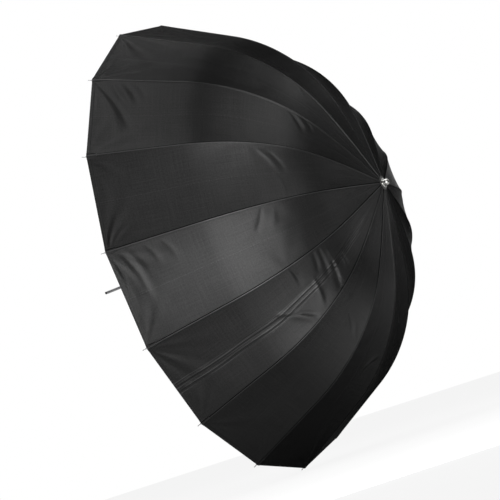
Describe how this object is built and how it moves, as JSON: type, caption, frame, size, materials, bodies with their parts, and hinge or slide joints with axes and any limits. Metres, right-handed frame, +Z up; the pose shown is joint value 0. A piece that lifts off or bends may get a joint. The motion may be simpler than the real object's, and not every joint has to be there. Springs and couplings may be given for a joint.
{
  "type": "umbrella reflector",
  "caption": "Deep bowl-shaped photographic umbrella on a slim shaft, black outside, that folds by sliding a runner along the shaft.",
  "frame": {"origin": "on the shaft's axis, where a stand's bracket grips it", "axes": "+X along the shaft towards the crown, the open mouth faces -X, +Z up through rib 01"},
  "size_m": [0.9431, 1.3118, 1.3118],
  "materials": {
    "cloth_black": "satin",
    "rib_rod": "satin",
    "stretcher_steel": "satin",
    "shaft_steel": "satin",
    "chrome": "polished",
    "black_plastic": "satin",
    "cast_metal": "satin",
    "wire_steel": "satin"
  },
  "bodies": {
    "shaft": {"shaft": "shaft_steel", "shaft_end_plug": "black_plastic", "crown": "cast_metal", "crown_tie_wire": "wire_steel", "crown_rivet": "wire_steel", "canopy_washer": "black_plastic", "finial": "chrome", "runner_stop_pin": "wire_steel", "catch_pin": "wire_steel"},
    "runner": {"runner": "black_plastic", "runner_tie_wire": "wire_steel"},
    "runner_catch": {"runner_catch": "wire_steel"},
    "rib_01": {"rib_01": "rib_rod", "canopy_gore_01": "cloth_black"},
    "stretcher_01": {"stretcher_01": "stretcher_steel"},
    "rib_02": {"rib_02": "rib_rod", "canopy_gore_02": "cloth_black"},
    "stretcher_02": {"stretcher_02": "stretcher_steel"},
    "rib_03": {"rib_03": "rib_rod", "canopy_gore_03": "cloth_black"},
    "stretcher_03": {"stretcher_03": "stretcher_steel"},
    "rib_04": {"rib_04": "rib_rod", "canopy_gore_04": "cloth_black"},
    "stretcher_04": {"stretcher_04": "stretcher_steel"},
    "rib_05": {"rib_05": "rib_rod", "canopy_gore_05": "cloth_black"},
    "stretcher_05": {"stretcher_05": "stretcher_steel"},
    "rib_06": {"rib_06": "rib_rod", "canopy_gore_06": "cloth_black"},
    "stretcher_06": {"stretcher_06": "stretcher_steel"},
    "rib_07": {"rib_07": "rib_rod", "canopy_gore_07": "cloth_black"},
    "stretcher_07": {"stretcher_07": "stretcher_steel"},
    "rib_08": {"rib_08": "rib_rod", "canopy_gore_08": "cloth_black"},
    "stretcher_08": {"stretcher_08": "stretcher_steel"},
    "rib_09": {"rib_09": "rib_rod", "canopy_gore_09": "cloth_black"},
    "stretcher_09": {"stretcher_09": "stretcher_steel"},
    "rib_10": {"rib_10": "rib_rod", "canopy_gore_10": "cloth_black"},
    "stretcher_10": {"stretcher_10": "stretcher_steel"},
    "rib_11": {"rib_11": "rib_rod", "canopy_gore_11": "cloth_black"},
    "stretcher_11": {"stretcher_11": "stretcher_steel"},
    "rib_12": {"rib_12": "rib_rod", "canopy_gore_12": "cloth_black"},
    "stretcher_12": {"stretcher_12": "stretcher_steel"},
    "rib_13": {"rib_13": "rib_rod", "canopy_gore_13": "cloth_black"},
    "stretcher_13": {"stretcher_13": "stretcher_steel"},
    "rib_14": {"rib_14": "rib_rod", "canopy_gore_14": "cloth_black"},
    "stretcher_14": {"stretcher_14": "stretcher_steel"},
    "rib_15": {"rib_15": "rib_rod", "canopy_gore_15": "cloth_black"},
    "stretcher_15": {"stretcher_15": "stretcher_steel"},
    "rib_16": {"rib_16": "rib_rod", "canopy_gore_16": "cloth_black"},
    "stretcher_16": {"stretcher_16": "stretcher_steel"}
  },
  "joints": [
    {"name": "rib_01_fold", "type": "hinge", "parent": "shaft", "child": "rib_01", "pos_m": [0.729, 0, 0.014], "axis": [0, -1, 0], "range_deg": [0, 50], "deforming": ["canopy_gore_01", "runner_catch"]},
    {"name": "rib_02_fold", "type": "hinge", "parent": "shaft", "child": "rib_02", "pos_m": [0.729, -0.00536, 0.01293], "axis": [0, -0.9239, -0.3827], "range_deg": [0, 50], "deforming": ["canopy_gore_02"]},
    {"name": "rib_03_fold", "type": "hinge", "parent": "shaft", "child": "rib_03", "pos_m": [0.729, -0.0099, 0.0099], "axis": [0, -0.7071, -0.7071], "range_deg": [0, 50], "deforming": ["canopy_gore_03"]},
    {"name": "rib_04_fold", "type": "hinge", "parent": "shaft", "child": "rib_04", "pos_m": [0.729, -0.01293, 0.00536], "axis": [0, -0.3827, -0.9239], "range_deg": [0, 50], "deforming": ["canopy_gore_04"]},
    {"name": "rib_05_fold", "type": "hinge", "parent": "shaft", "child": "rib_05", "pos_m": [0.729, -0.014, 0], "axis": [0, 0, -1], "range_deg": [0, 50], "deforming": ["canopy_gore_05"]},
    {"name": "rib_06_fold", "type": "hinge", "parent": "shaft", "child": "rib_06", "pos_m": [0.729, -0.01293, -0.00536], "axis": [0, 0.3827, -0.9239], "range_deg": [0, 50], "deforming": ["canopy_gore_06"]},
    {"name": "rib_07_fold", "type": "hinge", "parent": "shaft", "child": "rib_07", "pos_m": [0.729, -0.0099, -0.0099], "axis": [0, 0.7071, -0.7071], "range_deg": [0, 50], "deforming": ["canopy_gore_07"]},
    {"name": "rib_08_fold", "type": "hinge", "parent": "shaft", "child": "rib_08", "pos_m": [0.729, -0.00536, -0.01293], "axis": [0, 0.9239, -0.3827], "range_deg": [0, 50], "deforming": ["canopy_gore_08"]},
    {"name": "rib_09_fold", "type": "hinge", "parent": "shaft", "child": "rib_09", "pos_m": [0.729, 0, -0.014], "axis": [0, 1, 0], "range_deg": [0, 50], "deforming": ["canopy_gore_09"]},
    {"name": "rib_10_fold", "type": "hinge", "parent": "shaft", "child": "rib_10", "pos_m": [0.729, 0.00536, -0.01293], "axis": [0, 0.9239, 0.3827], "range_deg": [0, 50], "deforming": ["canopy_gore_10"]},
    {"name": "rib_11_fold", "type": "hinge", "parent": "shaft", "child": "rib_11", "pos_m": [0.729, 0.0099, -0.0099], "axis": [0, 0.7071, 0.7071], "range_deg": [0, 50], "deforming": ["canopy_gore_11"]},
    {"name": "rib_12_fold", "type": "hinge", "parent": "shaft", "child": "rib_12", "pos_m": [0.729, 0.01293, -0.00536], "axis": [0, 0.3827, 0.9239], "range_deg": [0, 50], "deforming": ["canopy_gore_12"]},
    {"name": "rib_13_fold", "type": "hinge", "parent": "shaft", "child": "rib_13", "pos_m": [0.729, 0.014, 0], "axis": [0, 0, 1], "range_deg": [0, 50], "deforming": ["canopy_gore_13"]},
    {"name": "rib_14_fold", "type": "hinge", "parent": "shaft", "child": "rib_14", "pos_m": [0.729, 0.01293, 0.00536], "axis": [0, -0.3827, 0.9239], "range_deg": [0, 50], "deforming": ["canopy_gore_14"]},
    {"name": "rib_15_fold", "type": "hinge", "parent": "shaft", "child": "rib_15", "pos_m": [0.729, 0.0099, 0.0099], "axis": [0, -0.7071, 0.7071], "range_deg": [0, 50], "deforming": ["canopy_gore_15"]},
    {"name": "rib_16_fold", "type": "hinge", "parent": "shaft", "child": "rib_16", "pos_m": [0.729, 0.00536, 0.01293], "axis": [0, -0.9239, 0.3827], "range_deg": [0, 50], "deforming": ["canopy_gore_16"]},
    {"name": "stretcher_01_swing", "type": "hinge", "parent": "rib_01", "child": "stretcher_01", "pos_m": [0.57456, 0, 0.42564], "axis": [0, -1, 0], "range_deg": [-100, 0]},
    {"name": "stretcher_02_swing", "type": "hinge", "parent": "rib_02", "child": "stretcher_02", "pos_m": [0.57456, -0.16288, 0.39324], "axis": [0, -0.9239, -0.3827], "range_deg": [-100, 0]},
    {"name": "stretcher_03_swing", "type": "hinge", "parent": "rib_03", "child": "stretcher_03", "pos_m": [0.57456, -0.30097, 0.30097], "axis": [0, -0.7071, -0.7071], "range_deg": [-100, 0]},
    {"name": "stretcher_04_swing", "type": "hinge", "parent": "rib_04", "child": "stretcher_04", "pos_m": [0.57456, -0.39324, 0.16288], "axis": [0, -0.3827, -0.9239], "range_deg": [-100, 0]},
    {"name": "stretcher_05_swing", "type": "hinge", "parent": "rib_05", "child": "stretcher_05", "pos_m": [0.57456, -0.42564, 0], "axis": [0, 0, -1], "range_deg": [-100, 0]},
    {"name": "stretcher_06_swing", "type": "hinge", "parent": "rib_06", "child": "stretcher_06", "pos_m": [0.57456, -0.39324, -0.16288], "axis": [0, 0.3827, -0.9239], "range_deg": [-100, 0]},
    {"name": "stretcher_07_swing", "type": "hinge", "parent": "rib_07", "child": "stretcher_07", "pos_m": [0.57456, -0.30097, -0.30097], "axis": [0, 0.7071, -0.7071], "range_deg": [-100, 0]},
    {"name": "stretcher_08_swing", "type": "hinge", "parent": "rib_08", "child": "stretcher_08", "pos_m": [0.57456, -0.16288, -0.39324], "axis": [0, 0.9239, -0.3827], "range_deg": [-100, 0]},
    {"name": "stretcher_09_swing", "type": "hinge", "parent": "rib_09", "child": "stretcher_09", "pos_m": [0.57456, 0, -0.42564], "axis": [0, 1, 0], "range_deg": [-100, 0]},
    {"name": "stretcher_10_swing", "type": "hinge", "parent": "rib_10", "child": "stretcher_10", "pos_m": [0.57456, 0.16288, -0.39324], "axis": [0, 0.9239, 0.3827], "range_deg": [-100, 0]},
    {"name": "stretcher_11_swing", "type": "hinge", "parent": "rib_11", "child": "stretcher_11", "pos_m": [0.57456, 0.30097, -0.30097], "axis": [0, 0.7071, 0.7071], "range_deg": [-100, 0]},
    {"name": "stretcher_12_swing", "type": "hinge", "parent": "rib_12", "child": "stretcher_12", "pos_m": [0.57456, 0.39324, -0.16288], "axis": [0, 0.3827, 0.9239], "range_deg": [-100, 0]},
    {"name": "stretcher_13_swing", "type": "hinge", "parent": "rib_13", "child": "stretcher_13", "pos_m": [0.57456, 0.42564, 0], "axis": [0, 0, 1], "range_deg": [-100, 0]},
    {"name": "stretcher_14_swing", "type": "hinge", "parent": "rib_14", "child": "stretcher_14", "pos_m": [0.57456, 0.39324, 0.16288], "axis": [0, -0.3827, 0.9239], "range_deg": [-100, 0]},
    {"name": "stretcher_15_swing", "type": "hinge", "parent": "rib_15", "child": "stretcher_15", "pos_m": [0.57456, 0.30097, 0.30097], "axis": [0, -0.7071, 0.7071], "range_deg": [-100, 0]},
    {"name": "stretcher_16_swing", "type": "hinge", "parent": "rib_16", "child": "stretcher_16", "pos_m": [0.57456, 0.16288, 0.39324], "axis": [0, -0.9239, 0.3827], "range_deg": [-100, 0]},
    {"name": "runner_pivot", "type": "hinge", "parent": "stretcher_01", "child": "runner", "pos_m": [0.42013, 0, 0.014], "axis": [0, -1, 0], "range_deg": [0, 50]},
    {"name": "catch_press", "type": "hinge", "parent": "shaft", "child": "runner_catch", "pos_m": [0.33913, 0, 0.0006], "axis": [0, 1, 0], "range_deg": [0, 6], "stiffness_Nm_per_rad": 0.05}
  ],
  "couplings": [
    {"joint": "rib_02_fold", "follows": "rib_01_fold", "ratio": 1},
    {"joint": "rib_03_fold", "follows": "rib_01_fold", "ratio": 1},
    {"joint": "rib_04_fold", "follows": "rib_01_fold", "ratio": 1},
    {"joint": "rib_05_fold", "follows": "rib_01_fold", "ratio": 1},
    {"joint": "rib_06_fold", "follows": "rib_01_fold", "ratio": 1},
    {"joint": "rib_07_fold", "follows": "rib_01_fold", "ratio": 1},
    {"joint": "rib_08_fold", "follows": "rib_01_fold", "ratio": 1},
    {"joint": "rib_09_fold", "follows": "rib_01_fold", "ratio": 1},
    {"joint": "rib_10_fold", "follows": "rib_01_fold", "ratio": 1},
    {"joint": "rib_11_fold", "follows": "rib_01_fold", "ratio": 1},
    {"joint": "rib_12_fold", "follows": "rib_01_fold", "ratio": 1},
    {"joint": "rib_13_fold", "follows": "rib_01_fold", "ratio": 1},
    {"joint": "rib_14_fold", "follows": "rib_01_fold", "ratio": 1},
    {"joint": "rib_15_fold", "follows": "rib_01_fold", "ratio": 1},
    {"joint": "rib_16_fold", "follows": "rib_01_fold", "ratio": 1},
    {"joint": "stretcher_01_swing", "follows": "rib_01_fold", "ratio": -2},
    {"joint": "stretcher_02_swing", "follows": "rib_01_fold", "ratio": -2},
    {"joint": "stretcher_03_swing", "follows": "rib_01_fold", "ratio": -2},
    {"joint": "stretcher_04_swing", "follows": "rib_01_fold", "ratio": -2},
    {"joint": "stretcher_05_swing", "follows": "rib_01_fold", "ratio": -2},
    {"joint": "stretcher_06_swing", "follows": "rib_01_fold", "ratio": -2},
    {"joint": "stretcher_07_swing", "follows": "rib_01_fold", "ratio": -2},
    {"joint": "stretcher_08_swing", "follows": "rib_01_fold", "ratio": -2},
    {"joint": "stretcher_09_swing", "follows": "rib_01_fold", "ratio": -2},
    {"joint": "stretcher_10_swing", "follows": "rib_01_fold", "ratio": -2},
    {"joint": "stretcher_11_swing", "follows": "rib_01_fold", "ratio": -2},
    {"joint": "stretcher_12_swing", "follows": "rib_01_fold", "ratio": -2},
    {"joint": "stretcher_13_swing", "follows": "rib_01_fold", "ratio": -2},
    {"joint": "stretcher_14_swing", "follows": "rib_01_fold", "ratio": -2},
    {"joint": "stretcher_15_swing", "follows": "rib_01_fold", "ratio": -2},
    {"joint": "stretcher_16_swing", "follows": "rib_01_fold", "ratio": -2},
    {"joint": "runner_pivot", "follows": "rib_01_fold", "ratio": 1}
  ]
}
